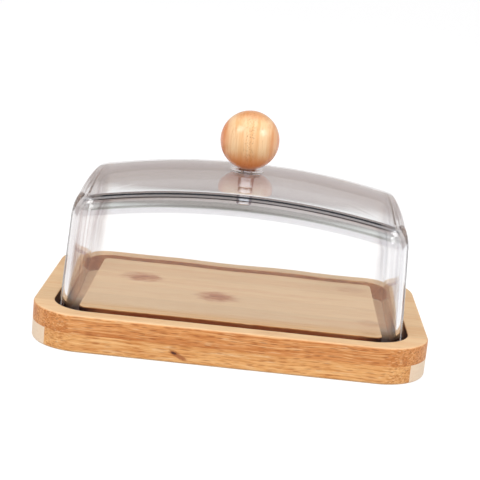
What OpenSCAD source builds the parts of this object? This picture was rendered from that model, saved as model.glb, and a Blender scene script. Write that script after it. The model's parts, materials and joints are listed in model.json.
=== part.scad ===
// Butter dish: a laminated bamboo board with a ring groove, a lift-off glass
// cover that stands in the groove, and a wooden ball knob held by a screw.
// Millimetres. Origin at the middle of the board's underside, X along the board,
// Y across it, Z up.

/* [Board] */
// Length of the board
board_l = 195; // [185:1:215]
// Width of the board
board_w = 128; // [124:1:140]
// Thickness of the board
board_h = 18.5; // [17:0.5:24]
// Corner radius of the board
board_r = 25.5; // [22:0.5:32]
// Rounding of the board's outer edges
board_edge_r = 1.2; // [0.6:0.1:2]
// Width of the lower layer's front strip
front_strip_w = 6; // [4:0.5:12]

/* [Ring groove] */
// Length of the groove's outer outline
groove_l = 175; // [174:0.5:178]
// Width of the groove's outer outline
groove_w = 111; // [109:0.5:114]
// Corner radius of the groove's outer outline
groove_r = 18.5; // [16:0.5:20]
// Depth of the groove
groove_depth = 8.2; // [5:0.1:8.2]
// Length of the platform inside the groove
platform_l = 148.5; // [140:0.5:152]
// Width of the platform inside the groove
platform_w = 94; // [88:0.5:95]
// Corner radius of the platform
platform_r = 3.5; // [2:0.5:10]

/* [Glass cover] */
// Length of the cover at its foot
cover_l = 170; // [166:0.5:171]
// Width of the cover at its foot
cover_w = 104; // [102:0.5:105]
// Height of the cover
cover_h = 74.8; // [60:0.5:90]
// Corner radius of the cover at its foot
cover_r = 12; // [11:0.5:16]
// Thickness of the glass
glass_t = 3; // [2.5:0.1:3.5]
// Slope of the walls, in degrees
draft = 2.4; // [1.5:0.1:3.2]
// Radius of the top's crown along the cover
crown_long_r = 365; // [330:5:420]
// Radius of the top's crown across the cover
crown_side_r = 245; // [220:5:300]
// Radius of the shoulder between top and walls
shoulder_r = 9; // [8:0.5:11]
// Diameter of the hole for the knob's screw
hole_d = 8; // [7:0.1:9]

/* [Knob] */
// Diameter of the ball
ball_d = 30; // [26:0.5:36]
// Diameter of the flat under the ball
ball_flat_d = 8; // [7:0.5:10]
// Thickness of the clear washer under the ball
upper_gasket_h = 0.8; // [0.6:0.1:2]
// Diameter of the clear washer under the ball
upper_gasket_d = 17; // [14:0.5:18]
// Thickness of the clear washer under the glass
lower_gasket_h = 2; // [1:0.1:2.5]
// Diameter of the clear washer under the glass
lower_gasket_d = 14; // [12:0.5:15]
// Length of the metal sleeve
sleeve_h = 5; // [3:0.5:7]
// Diameter of the metal sleeve
sleeve_d = 8; // [7:0.1:9]
// Diameter of the screw's shank
screw_d = 4; // [3.8:0.1:4.2]
// Diameter of the screw's head
head_d = 7.6; // [7:0.1:9]
// Height of the screw's head
head_h = 3.3; // [2.8:0.1:4]

/* [Hidden] */
$fn = 96;
eps = 0.01;
upper_n = 6;
lower_n = 7;
mid_z = board_h / 2;
upper_w = board_w / upper_n;
groove_z = board_h - groove_depth;
bore_d = screw_d + 0.3;
collar_d = hole_d - 0.2;
collar_h = glass_t - 0.4;
insert_d = 6.5;
insert_h = 12;
insert_bore_d = screw_d + 0.1;
recess_l = 4.2;
recess_w = 1;
recess_h = 1.8;
seat_drop = 0.2;
end_crown_lift = 0.15;
skirt_flare = 2;
shoulder_steps = 8;
crown_steps = 16;
tip_clear = 1;

// Heights of the knob stack
top_z = groove_z + cover_h;
under_glass_z = top_z - glass_t;
ball_foot_z = top_z + upper_gasket_h;
ball_z = ball_foot_z + sqrt(pow(ball_d, 2) - pow(ball_flat_d, 2)) / 2;
sleeve_top_z = under_glass_z - lower_gasket_h;
head_top_z = sleeve_top_z - sleeve_h;

upper_names = [for (i = [1:upper_n]) str("upper_strip_", i)];
lower_names = [for (i = [1:lower_n]) str("lower_strip_", i)];

bamboo = [0.80, 0.60, 0.38];
bamboo_pale = [0.86, 0.70, 0.50];

// Front edge of lower strip i: a narrow strip first, then full ones.
function lower_y(i) = i == 0 ? -board_w / 2
    : min(-board_w / 2 + front_strip_w + (i - 1) * upper_w, board_w / 2);
// Front edge of upper strip i.
function upper_y(i) = -board_w / 2 + i * upper_w;

// Rectangle with round corners, centred.
module round_rect(l, w, r) {
    square([l - 2 * r, w], center = true);
    square([l, w - 2 * r], center = true);
    for (x = [-1, 1], y = [-1, 1])
        translate([x * (l / 2 - r), y * (w / 2 - r)]) circle(r);
}

// Cross-section of the board, width w, with its edges rounded.
module board_section(w) {
    translate([0, board_h / 2]) round_rect(w, board_h, board_edge_r);
}

// The whole board before it is cut into strips and grooved.
module board_blank() {
    run_l = board_l - 2 * board_r;
    run_w = board_w - 2 * board_r;
    rotate([90, 0, 90]) translate([0, 0, -run_l / 2])
        linear_extrude(run_l) board_section(board_w);
    rotate([90, 0, 0]) translate([0, 0, -run_w / 2])
        linear_extrude(run_w) board_section(board_l);
    for (x = [-1, 1], y = [-1, 1])
        translate([x * run_l / 2, y * run_w / 2])
            rotate_extrude() intersection() {
                board_section(2 * board_r);
                square([board_r, board_h]);
            }
}

// Ring groove that the cover stands in.
module groove_cut() {
    translate([0, 0, groove_z]) difference() {
        linear_extrude(groove_depth + 1) round_rect(groove_l, groove_w, groove_r);
        translate([0, 0, -1]) linear_extrude(groove_depth + 3)
            round_rect(platform_l, platform_w, platform_r);
    }
}

// The part of the board between y0 and y1, z0 and z1.
module board_part(y0, y1, z0, z1) {
    intersection() {
        board_blank();
        translate([-board_l, y0, z0]) cube([2 * board_l, y1 - y0, z1 - z0]);
    }
}

module upper_strip(i) {
    color(bamboo) difference() {
        board_part(upper_y(i - 1), upper_y(i), mid_z, board_h);
        groove_cut();
    }
}

module lower_strip(i) {
    color(bamboo_pale) board_part(lower_y(i - 1), lower_y(i), 0, mid_z);
}

// Points of an arc about c from angle a0 to a1.
function arc(c, r, a0, a1, n) =
    [for (i = [0:n]) let (a = a0 + (a1 - a0) * i / n) c + r * [cos(a), sin(a)]];

// Section of the cover in an upright plane: walls that lean in, a crowned top
// of radius crown_r whose middle is at height h, and round shoulders. The foot
// is at height foot and the nominal foot line half_w from the middle. inset
// moves every line inwards, and slope is the lean of the skirt below the shoulder.
module cover_section(half_w, h, crown_r, slope, inset, foot) {
    n = [cos(draft), sin(draft)];
    t = [-sin(draft), cos(draft)];
    crown_c = [0, h - crown_r];
    wall = half_w * cos(draft) - shoulder_r;
    reach = wall * n - crown_c;
    along = t * crown_c;
    s = along + sqrt(pow(along, 2) - reach * reach + pow(crown_r - shoulder_r, 2));
    c = wall * n + s * t;
    crown_a = atan2(c[1] - crown_c[1], c[0]);
    shoulder = arc(c, shoulder_r - inset, draft, crown_a, shoulder_steps);
    foot_x = shoulder[0][0] + (shoulder[0][1] - foot) * tan(slope);
    crown = arc(crown_c, crown_r - inset, crown_a, 180 - crown_a, crown_steps);
    left = [for (i = [shoulder_steps:-1:0]) [-shoulder[i][0], shoulder[i][1]]];
    inner_crown = [for (i = [1:crown_steps - 1]) crown[i]];
    polygon(concat([[foot_x, foot]], shoulder, inner_crown, left, [[-foot_x, foot]]));
}

// Prism with leaning walls and round upright corners.
module cover_walls(inset, foot, h) {
    cx = cover_l / 2 - cover_r;
    cy = cover_w / 2 - cover_r;
    r0 = cover_r - inset / cos(draft) - foot * tan(draft);
    r1 = cover_r - inset / cos(draft) - h * tan(draft);
    rotate([90, 0, 0]) translate([0, 0, -cy]) linear_extrude(2 * cy)
        polygon([[-cx - r0, foot], [cx + r0, foot], [cx + r1, h], [-cx - r1, h]]);
    rotate([90, 0, 90]) translate([0, 0, -cx]) linear_extrude(2 * cx)
        polygon([[-cy - r0, foot], [cy + r0, foot], [cy + r1, h], [-cy - r1, h]]);
    for (x = [-1, 1], y = [-1, 1])
        translate([x * cx, y * cy, foot]) cylinder(h - foot, r0, r1);
}

// A section turned about a level axis far below, so that its top is crowned
// along the turn too. The section's heights become distances from that axis.
module crowned(h, crown_r, reach) {
    swing = 2 * asin(reach / (crown_r - h));
    translate([0, 0, h - crown_r]) rotate([0, -90, 0]) rotate([90, 0, 0])
        rotate([0, 0, -swing / 2]) rotate_extrude(angle = swing, $fn = 720)
            translate([crown_r - h, 0]) rotate(-90) children();
}

// Solid block with the cover's outer shape, or its inner one with an inset.
module cover_block(inset, foot) {
    h = cover_h + seat_drop;
    flare = draft + skirt_flare;
    intersection() {
        cover_walls(inset, foot, cover_h - inset);
        crowned(h, crown_long_r, cover_l / 2)
            cover_section(cover_w / 2, h, crown_side_r, flare, inset, foot);
        rotate(90) crowned(h + end_crown_lift, crown_side_r, cover_w / 2)
            cover_section(cover_l / 2, h + end_crown_lift, crown_long_r,
                flare, inset, foot);
    }
}

module glass_cover() {
    color([0.85, 0.90, 0.90, 0.35]) translate([0, 0, groove_z]) difference() {
        cover_block(0, 0);
        cover_block(glass_t, -1);
        translate([0, 0, cover_h / 2]) cylinder(cover_h, d = hole_d);
    }
}

module upper_gasket() {
    color([0.92, 0.92, 0.92, 0.5]) difference() {
        union() {
            translate([0, 0, top_z]) cylinder(upper_gasket_h, d = upper_gasket_d);
            translate([0, 0, top_z - collar_h]) cylinder(collar_h + eps, d = collar_d);
        }
        translate([0, 0, top_z - glass_t]) cylinder(3 * glass_t, d = bore_d);
    }
}

// Plain ring with its top at z.
module ring(z, h, d) {
    translate([0, 0, z - h]) difference() {
        cylinder(h, d = d);
        translate([0, 0, -1]) cylinder(h + 2, d = bore_d);
    }
}

module lower_gasket() {
    color([0.92, 0.92, 0.92, 0.5]) ring(under_glass_z, lower_gasket_h, lower_gasket_d);
}

module spacer_sleeve() {
    color([0.75, 0.75, 0.77]) ring(sleeve_top_z, sleeve_h, sleeve_d);
}

module knob_screw() {
    head_z = head_top_z - head_h;
    tip_z = ball_foot_z + insert_h - tip_clear;
    color([0.75, 0.75, 0.77]) difference() {
        union() {
            translate([0, 0, head_z]) cylinder(head_h, d = head_d);
            translate([0, 0, head_top_z - eps])
                cylinder(tip_z - head_top_z + eps, d = screw_d);
        }
        for (a = [0, 90])
            rotate(a) translate([-recess_l / 2, -recess_w / 2, head_z - 1])
                cube([recess_l, recess_w, recess_h + 1]);
    }
}

module threaded_insert() {
    color([0.80, 0.65, 0.30]) translate([0, 0, ball_foot_z]) difference() {
        cylinder(insert_h, d = insert_d);
        translate([0, 0, -1]) cylinder(insert_h + 2, d = insert_bore_d);
    }
}

module ball_knob() {
    color([0.84, 0.62, 0.38]) difference() {
        translate([0, 0, ball_z]) sphere(d = ball_d);
        translate([-ball_d, -ball_d, ball_foot_z - ball_d])
            cube([2 * ball_d, 2 * ball_d, ball_d]);
        translate([0, 0, ball_foot_z - 1]) cylinder(insert_h + 2, d = insert_d);
    }
}

for (i = [1:upper_n]) upper_strip(i);
for (i = [1:lower_n]) lower_strip(i);
glass_cover();
upper_gasket();
lower_gasket();
spacer_sleeve();
knob_screw();
threaded_insert();
ball_knob();
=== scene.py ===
# Butter dish: a bamboo board with a ring groove, a pressed-glass cover that stands
# in the groove, and a wooden ball knob on a screw with clear washers.
# Metres, in the CAD model's frame. The places and outer sizes of the CAD pieces are read
# from it, and what their boxes don't tell is named here.

import json
import math

import bmesh
import bpy
from mathutils import Matrix, Vector, noise

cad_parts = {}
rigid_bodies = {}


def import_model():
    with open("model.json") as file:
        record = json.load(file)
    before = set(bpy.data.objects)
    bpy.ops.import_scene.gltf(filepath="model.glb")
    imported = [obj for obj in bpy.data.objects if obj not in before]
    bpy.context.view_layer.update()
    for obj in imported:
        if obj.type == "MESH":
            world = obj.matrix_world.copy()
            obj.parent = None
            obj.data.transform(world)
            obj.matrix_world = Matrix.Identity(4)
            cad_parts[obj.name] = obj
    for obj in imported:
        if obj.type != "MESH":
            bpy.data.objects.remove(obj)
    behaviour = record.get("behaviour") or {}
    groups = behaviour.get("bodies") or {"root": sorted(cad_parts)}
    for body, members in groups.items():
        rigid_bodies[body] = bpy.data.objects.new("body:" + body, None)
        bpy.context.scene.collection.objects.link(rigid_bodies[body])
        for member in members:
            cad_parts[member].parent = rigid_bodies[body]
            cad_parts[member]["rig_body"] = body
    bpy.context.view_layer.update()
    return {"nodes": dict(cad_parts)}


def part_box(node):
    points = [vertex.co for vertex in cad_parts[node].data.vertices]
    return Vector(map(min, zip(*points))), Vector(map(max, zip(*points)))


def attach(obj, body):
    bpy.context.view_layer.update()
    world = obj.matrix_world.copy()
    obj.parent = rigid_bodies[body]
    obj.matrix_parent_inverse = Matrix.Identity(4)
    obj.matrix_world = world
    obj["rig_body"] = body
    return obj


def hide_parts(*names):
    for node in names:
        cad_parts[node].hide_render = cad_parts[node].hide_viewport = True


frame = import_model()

MM = 0.001
NODES = frame["nodes"]
SCENE = bpy.context.scene

MERGE = 1e-7  # points closer than this are one point
NEAR = 1e-5  # how close a point lies to a face's level to count as on it
SHARP = math.radians(50)  # edges bent more than this are rounded
SMOOTH = math.radians(35)  # edges bent less than this are shaded smooth
FLAT = math.radians(0.6)  # faces bent less than this are joined into one

# ---------------------------------------------------------------- glass cover
GLASS_T = 3.0 * MM
END_LEAN = math.tan(math.radians(3.2))
SIDE_LEAN = math.tan(math.radians(1.0))
CROWN_LONG_R = 365 * MM
CROWN_SIDE_R = 245 * MM
# The shoulder's size across the top, at the sides and the ends, and down the wall
SHOULDER = (6.5 * MM, 4.6 * MM, 11.0 * MM)
INNER_SHOULDER = (7.0 * MM, 6.0 * MM, 9.0 * MM)
CORNER_R = 12 * MM
HOLE_R = 4.0 * MM
HOLE_EASE = 0.4 * MM
CURVE_PULL = 0.5523  # handle length that makes a Bezier curve a quarter circle
RIPPLE = 0.10 * MM  # how far the pressed glass varies in thickness
RIPPLE_LENGTH = 26 * MM

# Points round a corner and along the sides, and rows of points down the glass
CORNER_STEPS = 14
LONG_STEPS = 56
SHORT_STEPS = 36
CROWN_ROWS = 30
CROWN_CROWDING = 1.15  # above 1, the crown's rows stand closer near the hole
SHOULDER_ROWS = 16
WALL_ROWS = 14
FOOT_ROWS = 8
# Rows of the outer skin in a column: the hole's lip, crown, shoulder, wall, half the foot
OUTER_ROWS = 2 + CROWN_ROWS + SHOULDER_ROWS + 1 + WALL_ROWS + FOOT_ROWS // 2


def sag(distance, radius):
    """How far a circle of this radius has fallen at this distance from its top."""
    return radius - math.sqrt(radius * radius - distance * distance)


class Cover:
    """The glass cover's shape: leaning walls, round shoulders and a crowned top."""

    def __init__(self, low, high):
        self.half_l = high.x
        self.half_w = high.y
        self.foot = low.z
        self.apex = high.z

    def crown(self, x, y, inset):
        """Height of the crowned top at x, y, moved inwards by inset."""
        fallen = sag(x, CROWN_LONG_R - inset) + sag(y, CROWN_SIDE_R - inset)
        return self.apex - inset - fallen

    def lean(self, angle):
        """Rise of the wall's normal where it faces this angle."""
        return abs(math.cos(angle)) * END_LEAN + abs(math.sin(angle)) * SIDE_LEAN

    def plan(self, station, z, inset):
        """Point of the walls' outline at height z, moved inwards by inset."""
        a, b, angle = station
        up = z - self.foot
        r = CORNER_R - inset * math.hypot(1, self.lean(angle))
        x = a * (self.half_l - CORNER_R - up * END_LEAN) + r * math.cos(angle)
        y = b * (self.half_w - CORNER_R - up * SIDE_LEAN) + r * math.sin(angle)
        return Vector((x, y, z))

    def shoulder(self, station, inset, at_side, at_end, down):
        """Points of the bend from the crown to the wall. The corner where the two would
        meet without a bend is found by stepping between them."""
        outward = Vector((math.cos(station[2]), math.sin(station[2]), 0))
        across = at_side + (at_end - at_side) * abs(outward.x)
        z = self.apex
        for _ in range(8):
            corner = self.plan(station, z, inset)
            z = self.crown(corner.x, corner.y, inset)
        start = corner - outward * across
        start.z = self.crown(start.x, start.y, inset)
        ahead = start + outward * 0.1 * MM
        ahead.z = self.crown(ahead.x, ahead.y, inset)
        end = self.plan(station, z - down, inset)
        first = start + (ahead - start).normalized() * across * CURVE_PULL
        last = end + (corner - end) * CURVE_PULL
        points = []
        for i in range(SHOULDER_ROWS + 1):
            t = i / SHOULDER_ROWS
            s = 1 - t
            points.append(
                start * s ** 3 + first * 3 * s * s * t + last * 3 * s * t * t + end * t ** 3
            )
        return points

    def column(self, station):
        """Points down the outside from the hole to the foot and back up the inside."""
        angle = station[2]
        outward = Vector((math.cos(angle), math.sin(angle), 0))
        wall_n = (outward + Vector((0, 0, self.lean(angle)))).normalized()

        def face(inset, size):
            """Crown, shoulder and wall of one face, from the hole to the foot."""
            bend = self.shoulder(station, inset, *size)
            edge = bend[0]
            hole = Vector((edge.x, edge.y)).normalized() * (HOLE_R + HOLE_EASE)
            points = []
            for i in range(CROWN_ROWS):
                t = (i / CROWN_ROWS) ** CROWN_CROWDING
                x = hole.x + (edge.x - hole.x) * t
                y = hole.y + (edge.y - hole.y) * t
                points.append(Vector((x, y, self.crown(x, y, inset))))
            points += bend
            end = self.plan(station, self.foot + GLASS_T / 2, inset)
            for i in range(1, WALL_ROWS + 1):
                points.append(bend[-1].lerp(end, i / WALL_ROWS))
            return points

        outer = face(0, SHOULDER)
        inner = [self.rippled(p, wall_n) for p in face(GLASS_T, INNER_SHOULDER)]
        middle = self.plan(station, self.foot + GLASS_T / 2, GLASS_T / 2)
        nose = []
        for i in range(1, FOOT_ROWS):
            a = math.pi * i / FOOT_ROWS
            r = GLASS_T / 2 * math.hypot(1, self.lean(angle))
            nose.append(middle + outward * r * math.cos(a) - Vector((0, 0, r * math.sin(a))))
        lip_out = self.hole_lip(outer[0], 0)
        lip_in = self.hole_lip(inner[0], GLASS_T)
        return lip_out + outer + nose + inner[::-1] + lip_in[::-1]

    def hole_lip(self, p, inset):
        """Two points that round the hole's edge beside the point p."""
        side = -1 if inset == 0 else 1
        across = Vector((p.x, p.y, 0)).normalized()
        low = p + Vector((0, 0, side * HOLE_EASE)) - across * HOLE_EASE
        mid = p + Vector((0, 0, side * 0.3 * HOLE_EASE)) - across * 0.7 * HOLE_EASE
        return [low, mid]

    def rippled(self, p, wall_n):
        """p moved a little in or out, as the inside of pressed glass varies, and less
        near the foot and the hole."""
        up = min(1, max(0, (p.z - self.foot) / (self.apex - self.foot)))
        n = wall_n.lerp(Vector((0, 0, 1)), up ** 12).normalized()
        fade = min(1, (p.z - self.foot) / (8 * MM))
        reach = max(0, math.hypot(p.x, p.y) - 10 * MM) / (20 * MM)
        return p + n * RIPPLE * noise.noise(p / RIPPLE_LENGTH) * fade * min(1, reach)


def stations():
    """Places round the cover: (end of the long side, end of the short side, angle)."""
    corners = [(1, -1), (1, 1), (-1, 1), (-1, -1)]
    found = []
    for k, (a, b) in enumerate(corners):
        start = math.radians(90 * k - 90)
        for j in range(CORNER_STEPS):
            found.append((a, b, start + math.radians(90) * j / CORNER_STEPS))
        a2, b2 = corners[(k + 1) % 4]
        steps = SHORT_STEPS if a == a2 else LONG_STEPS
        for j in range(steps):
            t = j / steps
            found.append((a + (a2 - a) * t, b + (b2 - b) * t, start + math.radians(90)))
    return found


def link(name, data):
    """A new object with this data, in the scene."""
    ob = bpy.data.objects.new(name, data)
    SCENE.collection.objects.link(ob)
    return ob


def mesh_object(name, points, faces):
    """A smooth piece from its points and faces."""
    mesh = bpy.data.meshes.new(name)
    mesh.from_pydata(points, [], faces)
    mesh.update()
    bm = bmesh.new()
    bm.from_mesh(mesh)
    bmesh.ops.remove_doubles(bm, verts=bm.verts, dist=MERGE)
    bmesh.ops.recalc_face_normals(bm, faces=bm.faces)
    bm.to_mesh(mesh)
    bm.free()
    mesh.shade_smooth()
    return link(name, mesh)


def closed_grid(name, columns):
    """A closed skin over columns of points that wrap round both ways."""
    rows, n = len(columns[0]), len(columns)
    points = [p for column in columns for p in column]
    faces = []
    for i in range(n):
        for j in range(rows):
            i2, j2 = (i + 1) % n, (j + 1) % rows
            faces.append((i * rows + j, i2 * rows + j, i2 * rows + j2, i * rows + j2))
    return mesh_object(name, points, faces)


def lathe(name, profile, steps=96):
    """A turned piece from a closed outline of (radius, height) points."""
    columns = []
    for i in range(steps):
        a = 2 * math.pi * i / steps
        columns.append([Vector((r * math.cos(a), r * math.sin(a), z)) for r, z in profile])
    return closed_grid(name, columns)


def eased_outline(corners, ease, steps=4):
    """A closed outline whose corners are rounded by ease."""
    points = []
    for i, corner in enumerate(corners):
        c = Vector(corner)
        before = (Vector(corners[i - 1]) - c).normalized() * ease
        after = (Vector(corners[(i + 1) % len(corners)]) - c).normalized() * ease
        for k in range(steps + 1):
            t = k / steps
            points.append(c + before * (1 - t) ** 2 + after * t ** 2)
    return points


# ---------------------------------------------------------------- node helpers
class Tree:
    """Short ways to add shader nodes. add and principled give the new node, and the rest
    give the socket to build on."""

    def __init__(self, name, tree=None):
        if tree is None:
            self.material = bpy.data.materials.new(name)
            self.material.use_nodes = True
            tree = self.material.node_tree
        self.tree = tree
        self.tree.nodes.clear()

    def add(self, kind, settings=None, **inputs):
        """A new node. An input is named, or is i and its number."""
        n = self.tree.nodes.new("ShaderNode" + kind)
        for key, value in (settings or {}).items():
            setattr(n, key, value)
        for key, value in inputs.items():
            self.put(n.inputs[self.socket(key)], value)
        return n

    def socket(self, key):
        if key[0] == "i" and key[1:].isdigit():
            return int(key[1:])
        return key.replace("_", " ")

    def put(self, socket, value):
        if isinstance(value, bpy.types.NodeSocket):
            self.tree.links.new(value, socket)
        else:
            socket.default_value = value

    def math(self, operation, a, b=0.0, c=0.0):
        return self.add("Math", {"operation": operation}, i0=a, i1=b, i2=c).outputs[0]

    def plus(self, a, b):
        return self.math("ADD", a, b)

    def minus(self, a, b):
        return self.math("SUBTRACT", a, b)

    def times(self, product, *factors):
        for factor in factors:
            product = self.math("MULTIPLY", product, factor)
        return product

    def size(self, value):
        return self.math("ABSOLUTE", value)

    def smooth(self, value, low, high, to_low=0.0, to_high=1.0):
        """An eased step from to_low at low to to_high at high."""
        settings = {"interpolation_type": "SMOOTHSTEP"}
        n = self.add("MapRange", settings, i0=value, i1=low, i2=high, i3=to_low, i4=to_high)
        return n.outputs[0]

    def between(self, value, start, full, fade, end):
        """0 up to start, 1 from full to fade, and 0 again from end."""
        return self.times(self.smooth(value, start, full), self.smooth(value, end, fade))

    def mix(self, factor, a, b, blend="MIX"):
        n = self.add("Mix", {"data_type": "RGBA", "blend_type": blend})
        self.put(n.inputs[0], factor)
        self.put(n.inputs[6], a)
        self.put(n.inputs[7], b)
        return n.outputs[2]

    def stretched(self, vector, x, y, z):
        """The vector times x, y, z."""
        n = self.add("VectorMath", {"operation": "MULTIPLY"}, i0=vector)
        n.inputs[1].default_value = (x, y, z)
        return n.outputs[0]

    def noise(self, vector, fineness, detail=2.0, roughness=0.5):
        """Soft noise with so many waves a metre along x, y and z."""
        vector = self.stretched(vector, *fineness)
        n = self.add("TexNoise", Vector=vector, Scale=1.0, Detail=detail, Roughness=roughness)
        return n.outputs[0]

    def wobble(self, vector, fineness, detail, reach):
        """Noise about zero, times reach."""
        return self.times(self.minus(self.noise(vector, fineness, detail), 0.5), reach)

    def position(self):
        return self.add("TexCoord").outputs["Object"]

    def parts(self, vector):
        """The x, y and z of a vector."""
        return tuple(self.add("SeparateXYZ", i0=vector).outputs)

    def edge_on(self, low, high):
        """0 where the surface faces the viewer, 1 where it is seen edge on."""
        return self.smooth(self.add("LayerWeight", Blend=0.5).outputs["Facing"], low, high)

    def principled(self, **inputs):
        return self.add("BsdfPrincipled", **inputs)

    def bump(self, height, distance, strength):
        return self.add("Bump", Height=height, Distance=distance, Strength=strength).outputs[0]

    def finish(self, shader):
        out = self.add("OutputMaterial")
        self.tree.links.new(shader, out.inputs[0])
        return self.material


def colour(r, g, b):
    """An sRGB colour as linear numbers."""

    def linear(v):
        v /= 255
        return v / 12.92 if v <= 0.04045 else ((v + 0.055) / 1.055) ** 2.4

    return (linear(r), linear(g), linear(b), 1.0)


# ---------------------------------------------------------------- materials
STRIP_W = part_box("upper_strip_1")[1].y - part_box("upper_strip_1")[0].y
BOARD_LOW, BOARD_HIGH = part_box("upper_strip_1")[0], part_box("upper_strip_6")[1]
BOARD_TOP = BOARD_HIGH.z

# Node marks of the bamboo on the board's face: x, y, half length, half width in mm, strength
NODE_MARKS = [
    (-50, 16.0, 10.0, 8.5, 0.85),
    (-9, -7.0, 10.5, 8.5, 0.90),
    (62, 34, 9.0, 7.0, 0.22),
    (70, -26, 8.0, 6.0, 0.25),
    (68, -42.6, 6.0, 3.5, 0.22),
    (20, -59.5, 9.0, 3.5, 0.18),
]
MARK_HALO = colour(182, 104, 56)
MARK_HEART = colour(116, 56, 26)
# The knot on the lower layer's front side and its heart: x, z, half length, half height
# in mm, slant, strength, colour
KNOTS = [
    (-23.0, 4.0, 4.6, 1.7, -0.45, 0.80, colour(150, 78, 34)),
    (-25.0, 5.0, 1.7, 0.7, -0.30, 0.95, colour(70, 32, 16)),
]
# Half the groove's length and width at its outer wall
GROOVE_HALF_L = 87.5 * MM
GROOVE_HALF_W = 55.5 * MM
# Colours of the painted shade on the groove's walls and of the painted shadow in its front
# corners
GROOVE_WALL_SHADE = colour(124, 52, 32)
GROOVE_CORNER_SHADOW = colour(34, 12, 11)
# How fine the bamboo's patterns are: waves a metre along and across its fibres
BEND = (22, 60, 60)
BROAD = (7, 130, 130)
STREAKS = (14, 700, 700)
THREADS = (24, 1500, 1500)
FIBRE = (85, 1150, 1150)
BUNDLES = (190, 1250, 1250)
THREAD_PALE = colour(246, 200, 140)
END_PALE = colour(246, 224, 196)


def oval(t, middle, halves, across, up, slant=0.0):
    """Squared distance from an oval's middle in units of its halves, which are in mm. The
    oval's long way climbs by slant for each unit across."""
    u = t.minus(across, middle[0] * MM)
    v = t.minus(t.minus(up, middle[1] * MM), t.times(u, slant))
    u = t.math("DIVIDE", u, halves[0] * MM)
    v = t.math("DIVIDE", v, halves[1] * MM)
    return t.plus(t.times(u, u), t.times(v, v))


def node_marks(t, base, x, y, flat):
    """Soft brown ovals with darker specks where the bamboo's nodes were."""
    ragged = t.wobble(t.position(), (200, 420, 420), 3.0, 2.6)
    specks = t.smooth(t.noise(t.position(), (420, 1500, 1500)), 0.48, 0.68)
    for mark_x, mark_y, half_l, half_w, strength in NODE_MARKS:
        away = t.plus(oval(t, (mark_x, mark_y), (half_l, half_w), x, y), ragged)
        halo = t.times(t.smooth(away, 1.5, -0.1, 0.0, strength), flat)
        base = t.mix(halo, base, MARK_HALO)
        heart = t.times(t.smooth(away, 0.55, -0.1, 0.0, strength), flat, specks)
        base = t.mix(heart, base, MARK_HEART)
    return base


def knots(t, base, x, y, z):
    """The dark knot on the board's front side."""
    front = t.smooth(y, BOARD_LOW.y + 1.5 * MM, BOARD_LOW.y + 0.8 * MM)
    ragged = t.wobble(t.position(), (500, 900, 900), 3.0, 1.6)
    for knot_x, knot_z, half_l, half_h, slant, strength, tint in KNOTS:
        away = t.plus(oval(t, (knot_x, knot_z), (half_l, half_h), x, z, slant), ragged)
        base = t.mix(t.times(t.smooth(away, 1.2, 0.2, 0.0, strength), front), base, tint)
    return base


def painted_groove_shade(t, base, x, y, z):
    """Painted shade darkens the groove's walls, most at the front, and a near-black painted
    shadow fills its front corners.
    """
    inside = t.times(
        t.smooth(t.size(x), GROOVE_HALF_L + 1.1 * MM, GROOVE_HALF_L + 0.3 * MM),
        t.smooth(t.size(y), GROOVE_HALF_W + 1.3 * MM, GROOVE_HALF_W + 0.3 * MM),
    )
    deep = t.times(inside, t.smooth(z, BOARD_TOP - 0.2 * MM, BOARD_TOP - 1.0 * MM))
    front = t.smooth(y, -38 * MM, -8 * MM, 0.80, 0.16)
    base = t.mix(t.times(deep, front), base, GROOVE_WALL_SHADE)
    corner = t.times(t.smooth(t.size(x), 60 * MM, 74 * MM), t.smooth(y, 2 * MM, -26 * MM))
    return t.mix(t.times(deep, corner, 0.97), base, GROOVE_CORNER_SHADOW)


def strip_chance(t, y, first_y, seed):
    """A chance number from 0 to 1 for each strip."""
    strip = t.math("FLOOR", t.math("DIVIDE", t.minus(y, first_y), STRIP_W))
    return t.add("TexWhiteNoise", {"noise_dimensions": "1D"}, W=t.plus(strip, seed)).outputs[0]


def along_fibres(t, x, y, z, chance, seed):
    """The position along slightly wavy fibres, at another place in the noise for each
    strip."""
    bend = t.wobble(t.position(), BEND, 2.0, 3.2 * MM)
    bent = t.add("CombineXYZ", X=x, Y=t.plus(y, bend), Z=t.plus(z, bend)).outputs[0]
    shift = t.add("CombineXYZ", X=t.times(chance, 3.0), Y=seed * 0.11, Z=0.0).outputs[0]
    return t.add("VectorMath", {"operation": "ADD"}, i0=bent, i1=shift).outputs[0]


def bundle_dots(t, q):
    """Dots and dashes where bundles of fibres are cut, some stronger than others."""
    cells = t.add("TexVoronoi", {"feature": "F1"}, Scale=1.0, Vector=t.stretched(q, *BUNDLES))
    luck = t.add("SeparateColor", i0=cells.outputs["Color"]).outputs[0]
    dots = t.smooth(cells.outputs["Distance"], 0.60, 0.15)
    return t.times(dots, t.smooth(luck, 0.15, 0.65))


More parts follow.
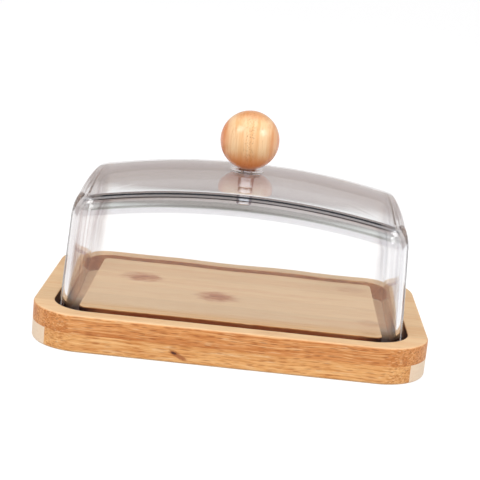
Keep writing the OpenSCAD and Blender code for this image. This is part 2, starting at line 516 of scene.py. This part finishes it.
def bamboo(name, face, side, streak, dark, first_y, seed, plain=None):
    """Bamboo strips side by side along Y, with fibres along X: soft streaks on the
    faces, dashes on the sides and the dots of cut bundles on the ends. Between the two
    values of plain, the sides are pale and even."""
    t = Tree(name)
    x, y, z = t.parts(t.position())
    chance = strip_chance(t, y, first_y, seed)
    q = along_fibres(t, x, y, z, chance, seed)

    # flat is 1 on the faces and 0 on the sides; it runs over the eased edges, so the pale face
    # colour there is partly a painted highlight
    flat = t.smooth(t.size(t.parts(t.add("NewGeometry").outputs["Normal"])[2]), 0.25, 0.85)
    upright = t.minus(1.0, flat)
    even = 0.0
    if plain:
        low, high = plain
        soft = 0.1 * MM
        even = t.times(t.between(y, low - soft, low + soft, high - soft, high + soft), upright)
    rough_side = t.minus(upright, even)

    def amount(on_sides, on_faces, on_even):
        """How strongly a pattern shows on rough sides, on faces and on even sides."""
        rough = t.plus(t.times(rough_side, on_sides), t.times(flat, on_faces))
        return t.plus(rough, t.times(even, on_even))

    fibre = t.noise(q, FIBRE, 3.0, 0.65)
    streaks = t.smooth(t.noise(q, STREAKS), 0.50, 0.72)
    threads = t.smooth(t.noise(q, THREADS, 1.0), 0.58, 0.70, 0.0, 0.55)
    broad = t.noise(q, BROAD)
    bundle = bundle_dots(t, q)

    base = t.mix(flat, side, face)
    base = t.mix(even, base, END_PALE)
    tone = t.smooth(chance, 0.0, 1.0, 0.95, 1.04)
    tones = t.add("CombineColor", i0=tone, i1=tone, i2=tone).outputs[0]
    base = t.mix(1.0, base, tones, "MULTIPLY")
    base = t.mix(t.times(t.smooth(broad, 0.40, 0.70), flat, 0.28), base, side)
    base = t.mix(t.times(t.smooth(broad, 0.42, 0.66), rough_side, 0.5), base, streak)
    grain = amount(0.78, 0.12, 0.10)
    base = t.mix(t.times(t.smooth(fibre, 0.46, 0.66), grain), base, streak)
    base = t.mix(t.times(streaks, grain, 0.7), base, streak)
    base = t.mix(t.times(t.smooth(fibre, 0.44, 0.28), rough_side, 0.6), base, face)
    base = t.mix(t.times(bundle, amount(0.6, 0.05, 0.0)), base, dark)
    base = t.mix(t.times(threads, rough_side), base, THREAD_PALE)
    base = node_marks(t, base, x, y, flat)
    base = knots(t, base, x, y, z)
    # Painted shade and painted shadow in the groove
    base = painted_groove_shade(t, base, x, y, z)

    height = t.plus(fibre, t.times(bundle, -0.6))
    shader = t.principled(
        Base_Color=base, Roughness=t.smooth(fibre, 0.2, 0.8, 0.42, 0.58), IOR=1.45,
        Normal=t.bump(height, 0.05 * MM, 0.6),
    )
    return t.finish(shader.outputs[0])


def ball_wood():
    """Pale turned wood with upright grain and a satin lacquer. Painted shade makes its sides
    and top browner and its foot orange-brown, and fine specks run down its middle."""
    t = Tree("ball_wood_finish")
    low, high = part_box("ball_knob")
    x, y, z = t.parts(t.position())
    bend = t.wobble(t.position(), (60, 60, 30), 1.0, 3 * MM)
    q = t.add("CombineXYZ", X=t.plus(x, bend), Y=y, Z=z).outputs[0]
    rings = t.noise(q, (420, 90, 12))
    fibre = t.noise(q, (1300, 500, 40), 3.0, 0.6)
    pores = t.noise(q, (2600, 1500, 110), 2.0, 0.7)
    specks = t.noise(q, (1900, 1900, 1400))

    middle = t.smooth(t.size(x), 3.5 * MM, 1.0 * MM)
    # Masks of painted shade at the sides, the top and the foot
    side = t.smooth(t.size(x), 7.5 * MM, 14 * MM)
    crest_shade = t.smooth(z, high.z - 5 * MM, high.z - 0.5 * MM)
    foot = t.smooth(z, low.z + 12 * MM, low.z + 1.5 * MM)

    pale, tan, deep = colour(246, 208, 160), colour(234, 178, 118), colour(190, 108, 50)
    base = t.mix(t.smooth(rings, 0.36, 0.68, 0.0, 0.85), pale, tan)
    base = t.mix(t.smooth(fibre, 0.48, 0.8, 0.0, 0.35), base, deep)
    base = t.mix(t.smooth(pores, 0.62, 0.75, 0.0, 0.30), base, deep)
    specks = t.times(t.smooth(specks, 0.55, 0.66, 0.0, 0.55), middle)
    base = t.mix(specks, base, colour(150, 84, 40))
    # Painted shade at the sides, the top and the foot
    side = t.times(side, t.smooth(rings, 0.3, 0.6, 0.40, 0.85))
    base = t.mix(side, base, colour(222, 122, 44))
    base = t.mix(t.times(crest_shade, 0.6), base, colour(214, 128, 66))
    base = t.mix(t.times(foot, 0.8), base, colour(240, 124, 34))
    shader = t.principled(
        Base_Color=base, Roughness=0.55, IOR=1.3, Coat_Weight=0.9, Coat_Roughness=0.25,
        Normal=t.bump(fibre, 0.02 * MM, 0.4),
    )
    return t.finish(shader.outputs[0])


# The cover's tones stand in for what the photographed studio shows in the glass, and
# each works by place. A skin that light crosses takes the square root of its tone, so
# these are darker than they look.
OUTSIDE = "outside"  # 1 on the cover's outer skin, 0 on its inner one
CLEAR = (0.985, 0.985, 0.985, 1)
# Painted taupe backdrop, in light that leaves through the back, high up, in the left and right
# halves
PAINTED_BACKDROP_LEFT = (0.235, 0.19, 0.176, 1)
PAINTED_BACKDROP_RIGHT = (0.32, 0.268, 0.258, 1)
# Painted reflections, dark and pale lines round the shoulder, by the depth under the crown in
# mm: where each starts, is full, begins to fade and ends, and its tone
SHOULDER_REFLECTIONS = [
    (0.02, 0.10, 0.28, 0.40, (0.60, 0.58, 0.58, 1)),
    (0.32, 0.46, 0.90, 1.02, (0.002, 0.0035, 0.006, 1)),
    (0.96, 1.04, 1.50, 1.60, (0.72, 0.88, 1.00, 1)),
    (1.52, 1.64, 1.88, 2.00, (0.009, 0.011, 0.017, 1)),
    (2.85, 3.10, 5.60, 6.20, (0.54, 0.58, 0.56, 1)),
    (4.20, 5.20, 5.50, 6.10, (0.32, 0.30, 0.28, 1)),
    (5.50, 6.10, 7.90, 8.80, (0.60, 0.58, 0.61, 1)),
]
# Painted reflections on the left and right end walls
ROSY_REFLECTION = (0.24, 0.14, 0.13, 1)
LILAC_REFLECTION = (0.42, 0.40, 0.44, 1)


def clear(name, tint, ior, dimmed):
    """Clear material that lets lamps and soft light through to what it covers."""
    t = Tree(name)
    shader = t.principled(Base_Color=tint, Roughness=0.0, IOR=ior, Transmission_Weight=1.0)
    through = t.add("BsdfTransparent", Color=dimmed).outputs[0]
    path = t.add("LightPath").outputs
    soft = t.add("MixShader", i0=path["Is Diffuse Ray"], i1=shader.outputs[0], i2=through)
    mix = t.add("MixShader", i0=path["Is Shadow Ray"], i1=soft.outputs[0], i2=through)
    return t, shader, mix


def fall(t, v, radius):
    """How far a circle of this radius has fallen at v from its top."""
    return t.minus(radius, t.math("SQRT", t.minus(radius * radius, t.times(v, v))))


def end_wall_reflections(t, tint, x, y, z, depth):
    """Painted reflections: rosy and lilac streaks on the end walls, at their corners and where
    they are seen edge on, weaker near the foot."""
    corner = t.times(
        t.smooth(t.size(x), 73 * MM, 79 * MM), t.smooth(t.size(y), 37 * MM, 44 * MM, 0.0, 0.8)
    )
    streaks = t.noise(t.position(), (30, 190, 9))
    wall = t.times(
        t.math("MAXIMUM", t.edge_on(0.30, 0.75), corner),
        t.smooth(depth, 3.0 * MM, 6.0 * MM),
        t.smooth(z, 8 * MM, 42 * MM, 0.12, 1.0),
        t.smooth(streaks, 0.36, 0.62, 0.35, 1.0),
    )
    for way, tone in ((-1, ROSY_REFLECTION), (1, LILAC_REFLECTION)):
        here = t.times(wall, t.smooth(x, way * 74 * MM, way * 79 * MM))
        tint = t.mix(here, tint, tone, "MULTIPLY")
    return tint


def glass():
    """Clear glass with painted reflections: a taupe backdrop where light leaves through the
    back high up, bands round the shoulder that fade towards the ends, and streaks on the end
    walls."""
    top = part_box("glass_cover")[1].z
    t, shader, mix = clear("cover_glass", (1, 1, 1, 1), 1.5, (0.88, 0.88, 0.88, 1))
    x, y, z = t.parts(t.position())
    fallen = t.plus(fall(t, x, CROWN_LONG_R), fall(t, y, CROWN_SIDE_R))
    depth = t.minus(top, t.plus(z, fallen))
    skin = t.add("Attribute", {"attribute_name": OUTSIDE}).outputs["Fac"]
    leaving = t.times(skin, t.add("NewGeometry").outputs["Backfacing"])
    entering = t.minus(skin, leaving)

    # Painted taupe backdrop where light leaves through the back, high up
    back = t.times(t.smooth(y, -36 * MM, -16 * MM), t.smooth(z, 55 * MM, 62 * MM))
    backdrop_seen = t.mix(t.smooth(x, -5 * MM, 22 * MM), PAINTED_BACKDROP_LEFT, PAINTED_BACKDROP_RIGHT)
    tint = t.mix(t.times(leaving, back), CLEAR, backdrop_seen)
    # Painted reflections round the shoulder, on entering the outer skin, weaker towards the
    # ends
    lines = t.times(entering, t.smooth(t.size(x), 77 * MM, 66 * MM, 0.3, 1.0))
    for start, full, fade, end, tone in SHOULDER_REFLECTIONS:
        band = t.between(depth, start * MM, full * MM, fade * MM, end * MM)
        tint = t.mix(t.times(band, lines), tint, tone, "MULTIPLY")
    t.put(shader.inputs["Base Color"], end_wall_reflections(t, tint, x, y, z, depth))
    return t.finish(mix.outputs[0])


def soft_plastic():
    """Clear plastic, a little hazy."""
    t, shader, mix = clear("washer_plastic", (0.97, 0.96, 0.96, 1), 1.4, (0.9, 0.9, 0.9, 1))
    haze = t.noise(t.position(), (900, 900, 900))
    t.put(shader.inputs["Roughness"], t.smooth(haze, 0.3, 0.7, 0.01, 0.06))
    return t.finish(mix.outputs[0])


def metal(name, tint, edge, low, high, fineness):
    """Turned metal with fine marks round its axis, in the colour edge where it is seen edge on,
    which is a painted dark reflection. Its roughness runs from low to high, and fineness is the
    marks' waves a metre along the axis."""
    t = Tree(name)
    marks = t.noise(t.position(), (300, 300, fineness), 3.0)
    # The colour edge at grazing view is a painted dark reflection
    shader = t.principled(
        Base_Color=t.mix(t.edge_on(0.15, 0.55), tint, edge), Metallic=1.0,
        Roughness=t.smooth(marks, 0.3, 0.7, low, high), Normal=t.bump(marks, 0.01 * MM, 0.3),
    )
    return t.finish(shader.outputs[0])


# ---------------------------------------------------------------- pieces
def dress(ob, material):
    """ob has this material and no other."""
    ob.data.materials.clear()
    ob.data.materials.append(material)


def stand_for(ob, node, material):
    """ob takes the place of a CAD node, on the same body and with its own finish."""
    dress(ob, material)
    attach(ob, NODES[node]["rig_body"])
    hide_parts(node)


STRIP_EASE = 0.45 * MM


def eased_copy(node, name, ease, segments, chosen, join_flats=False):
    """A copy of a CAD piece, with those of its sharp edges rounded that are chosen."""
    mesh = NODES[node].data.copy()
    bm = bmesh.new()
    bm.from_mesh(mesh)
    bmesh.ops.remove_doubles(bm, verts=bm.verts, dist=MERGE)
    if join_flats:
        bmesh.ops.dissolve_limit(bm, angle_limit=FLAT, verts=bm.verts, edges=bm.edges)
    edges = [
        e
        for e in bm.edges
        if len(e.link_faces) == 2 and e.calc_face_angle() > SHARP and chosen(e)
    ]
    if edges:
        bmesh.ops.bevel(
            bm, geom=edges, offset=ease, offset_type="OFFSET", segments=segments,
            profile=0.5, affect="EDGES", clamp_overlap=True,
        )
    for e in bm.edges:
        e.smooth = len(e.link_faces) == 2 and e.calc_face_angle() < SMOOTH
    for f in bm.faces:
        f.smooth = True
    bm.to_mesh(mesh)
    bm.free()
    return link(name, mesh)


def eased_strip(node):
    """A strip with its open edges eased and the edges of its glued faces left sharp."""
    low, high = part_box(node)
    outer_levels = {1: (-BOARD_HIGH.y, BOARD_HIGH.y), 2: (0.0, BOARD_TOP)}
    glued_levels = [
        (axis, end[axis])
        for axis, levels in outer_levels.items()
        for end in (low, high)
        if all(abs(end[axis] - level) >= NEAR for level in levels)
    ]

    def glued(face):
        return any(
            all(abs(v.co[axis] - level) < NEAR for v in face.verts)
            for axis, level in glued_levels
        )

    def is_open(edge):
        return edge.is_convex and not any(glued(f) for f in edge.link_faces)

    ob = eased_copy(node, node + "_strip", STRIP_EASE, 3, is_open, join_flats=True)
    weigh = ob.modifiers.new("weighted", "WEIGHTED_NORMAL")
    weigh.keep_sharp = True
    weigh.weight = 80
    return ob


def make_board():
    """The upper and lower layers' strips, each with its own layer's bamboo."""
    upper = bamboo(
        "bamboo_upper_finish", colour(233, 197, 152), colour(222, 155, 91),
        colour(186, 108, 46), colour(146, 76, 28), BOARD_LOW.y, 3.0,
    )
    lower = bamboo(
        "bamboo_lower_finish", colour(240, 210, 166), colour(233, 176, 111),
        colour(200, 128, 62), colour(164, 92, 38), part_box("lower_strip_2")[0].y, 11.0,
        (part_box("lower_strip_2")[0].y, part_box("lower_strip_7")[0].y),
    )
    for node in sorted(NODES):
        if "_strip_" in node:
            layer, material = ("upper", upper) if node.startswith("upper") else ("lower", lower)
            stand_for(eased_strip(node), node, material)


def make_cover():
    """The glass, with its outer skin marked for the material. The marks go by row, as
    closed_grid keeps the points in the order of the columns."""
    low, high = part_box("glass_cover")
    shape = Cover(low, high)
    columns = [shape.column(s) for s in stations()]
    ob = closed_grid("cover_glass", columns)
    skin = ob.data.attributes.new(OUTSIDE, "FLOAT", "POINT")
    rows = len(columns[0])
    for v in ob.data.vertices:
        skin.data[v.index].value = 1.0 if v.index % rows < OUTER_ROWS else 0.0
    stand_for(ob, "glass_cover", glass())


def bored_ring(node, bore_r, ease):
    """A ring as tall and as wide as the CAD piece, with rounded rims."""
    low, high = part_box(node)
    corners = [(bore_r, low.z), (high.x, low.z), (high.x, high.z), (bore_r, high.z)]
    return lathe(node + "_ring", eased_outline(corners, ease))


BORE_R = 2.15 * MM  # of the washers and the sleeve
INSERT_R = 3.25 * MM  # of the ball's socket for the insert
HEAD_EASE = 0.8 * MM
RING_EASE = 0.5 * MM
COLLAR_GAP = 0.1 * MM
BALL_ROWS = 72


def eased_screw():
    """The screw with the rims of its head rounded."""
    inside_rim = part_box("knob_screw")[1].x - 0.05 * MM

    def on_rim(edge):
        return all(math.hypot(v.co.x, v.co.y) > inside_rim for v in edge.verts)

    return eased_copy("knob_screw", "screw", HEAD_EASE, 5, on_rim)


def make_knob():
    """The washers, sleeve, screw, insert and ball."""
    plastic = soft_plastic()
    # The second colour of each metal is its painted dark reflection at the edges
    steel = metal("bright_steel", (0.80, 0.77, 0.79, 1), (0.42, 0.36, 0.39, 1), 0.10, 0.2, 2500)
    brass = metal("insert_brass", (0.83, 0.62, 0.30, 1), (0.6, 0.4, 0.18, 1), 0.22, 0.36, 1800)
    wood = ball_wood()

    low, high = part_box("upper_gasket")
    glass_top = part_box("glass_cover")[1].z
    collar_r = HOLE_R - COLLAR_GAP
    corners = [
        (BORE_R, low.z), (collar_r, low.z), (collar_r, glass_top),
        (high.x, glass_top), (high.x, high.z), (BORE_R, high.z),
    ]
    washer = lathe("upper_washer", eased_outline(corners, 0.25 * MM))
    stand_for(washer, "upper_gasket", plastic)
    for node, slot, material in (
        ("lower_gasket", "clear_plastic", plastic), ("spacer_sleeve", "steel", steel)
    ):
        stand_for(bored_ring(node, BORE_R, RING_EASE), node, material)
    stand_for(eased_screw(), "knob_screw", steel)
    dress(NODES["threaded_insert"], brass)

    low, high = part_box("ball_knob")
    r = high.x
    mid = high.z - r
    drop = mid - low.z
    foot_r = math.sqrt(r * r - drop * drop)
    insert_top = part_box("threaded_insert")[1].z
    first = -math.asin(drop / r)
    outline = [(INSERT_R, low.z), (foot_r - 0.3 * MM, low.z)]
    for i in range(BALL_ROWS + 1):
        a = first + (math.pi / 2 - first) * i / BALL_ROWS
        outline.append((max(r * math.cos(a), 0.0), mid + r * math.sin(a)))
    outline += [(0.0, insert_top), (INSERT_R, insert_top)]
    stand_for(lathe("ball", outline, 128), "ball_knob", wood)


# ---------------------------------------------------------------- stage
FLOOR_SIZE = 90.0


def make_floor():
    """A wide sheet of pale paper that glows a little, so that it looks white."""
    s = FLOOR_SIZE / 2
    corners = [(-s, -s, 0), (s, -s, 0), (s, s, 0), (-s, s, 0)]
    floor = mesh_object("floor", [Vector(p) for p in corners], [(0, 1, 2, 3)])
    floor.location.z = -0.05 * MM  # just clear of the board's underside
    t = Tree("floor_paper")
    sheet = t.principled(
        Base_Color=(0.35, 0.35, 0.35, 1), Roughness=1.0, Specular_IOR_Level=0.0,
        Emission_Color=(1, 1, 1, 1), Emission_Strength=0.78,
    )
    dress(floor, t.finish(sheet.outputs[0]))
    floor.visible_diffuse = False


# The studio's colour by the height of the direction, from -1, down, to 1, overhead
SKY = [
    (-1.0, (0.26, 0.20, 0.16)),
    (-0.02, (0.40, 0.36, 0.34)),
    (0.02, (0.75, 0.71, 0.70)),
    (0.10, (0.72, 0.67, 0.66)),
    (0.42, (0.60, 0.56, 0.55)),
    (0.58, (0.05, 0.06, 0.08)),
    (0.85, (0.03, 0.035, 0.05)),
    (1.0, (0.30, 0.30, 0.31)),
]


def make_world():
    """A studio that is pale at the horizon and dark higher up."""
    world = bpy.data.worlds.new("studio")
    SCENE.world = world
    world.use_nodes = True
    t = Tree("studio", world.node_tree)
    height = t.parts(t.add("TexCoord").outputs["Generated"])[2]
    ramp = t.add("ValToRGB", i0=t.math("MULTIPLY_ADD", height, 0.5, 0.5))
    elements = ramp.color_ramp.elements
    while len(elements) < len(SKY):
        elements.new(0.5)
    for e, (level, tint) in zip(elements, SKY):
        e.position = 0.5 + 0.5 * level
        e.color = (*tint, 1)
    sky = t.add("Background", i0=ramp.outputs[0], i1=1.0)
    out = t.add("OutputWorld")
    t.tree.links.new(sky.outputs[0], out.inputs[0])


def turn(lamp, towards):
    lamp.rotation_mode = "QUATERNION"
    lamp.rotation_quaternion = towards.to_track_quat("-Z", "Y")


def softbox(name, place, aim, width, height, power):
    """A lamp with a bright face, which shows in the glass and the ball."""
    data = bpy.data.lights.new(name, "AREA")
    data.shape = "RECTANGLE"
    data.size, data.size_y = width, height
    data.energy = power
    ob = link(name, data)
    ob.location = place
    turn(ob, Vector(aim) - Vector(place))


def skylight(name, way, strength):
    """Even light from one side of the studio, seen in no reflection."""
    data = bpy.data.lights.new(name, "SUN")
    data.angle = math.radians(70)
    data.energy = strength
    ob = link(name, data)
    turn(ob, -Vector(way))
    ob.visible_glossy = False
    ob.visible_transmission = False


def make_lights():
    """Soft boxes at both sides and behind, and even light from above and the front."""
    aim = (0, 0, 0.08)
    softbox("left_box", (-0.78, -0.57, 0.96), aim, 0.46, 0.46, 6.0)
    softbox("right_box", (0.94, -0.47, 0.86), aim, 0.46, 0.46, 6.5)
    softbox("top_box", (0.0, 0.45, 1.45), aim, 1.2, 0.5, 1.4)
    skylight("overhead", (-0.1, -0.2, 1.0), 0.75)
    skylight("front", (-0.1, -1.0, 0.45), 1.15)


# The camera, found from the outlines of the board and the cover in the photograph
CAMERA_TURN = math.radians(0.67)
CAMERA_HEIGHT = math.radians(13.74)
CAMERA_ROLL = math.radians(5.82)
CAMERA_DISTANCE = 766.4 * MM
CAMERA_AIM = Vector((-1.20, 112.1, 20.53)) * MM
CAMERA_LENS = 94.39


def make_camera():
    """The camera at its distance from the aim, rolled about its line of sight."""
    data = bpy.data.cameras.new("camera")
    data.lens = CAMERA_LENS
    data.sensor_width = 36.0
    data.clip_start, data.clip_end = 0.01, 100
    ob = link("camera", data)
    flat = math.cos(CAMERA_HEIGHT)
    back = Vector(
        (math.sin(CAMERA_TURN) * flat, -math.cos(CAMERA_TURN) * flat, math.sin(CAMERA_HEIGHT))
    )
    right = (-back).cross(Vector((0, 0, 1))).normalized()
    up = right.cross(-back)
    c, s = math.cos(CAMERA_ROLL), math.sin(CAMERA_ROLL)
    x_axis, y_axis = right * c + up * s, up * c - right * s
    axes = Matrix((x_axis, y_axis, back)).transposed().to_4x4()
    ob.matrix_world = Matrix.Translation(CAMERA_AIM + back * CAMERA_DISTANCE) @ axes
    SCENE.camera = ob


GLASS_BOUNCES = 128  # enough for light that runs along inside the glass

SCENE.view_settings.view_transform = "Standard"
SCENE.cycles.max_bounces = GLASS_BOUNCES
SCENE.cycles.transmission_bounces = GLASS_BOUNCES
SCENE.cycles.glossy_bounces = GLASS_BOUNCES // 2
make_camera()
make_world()
make_lights()
make_floor()
make_board()
make_cover()
make_knob()
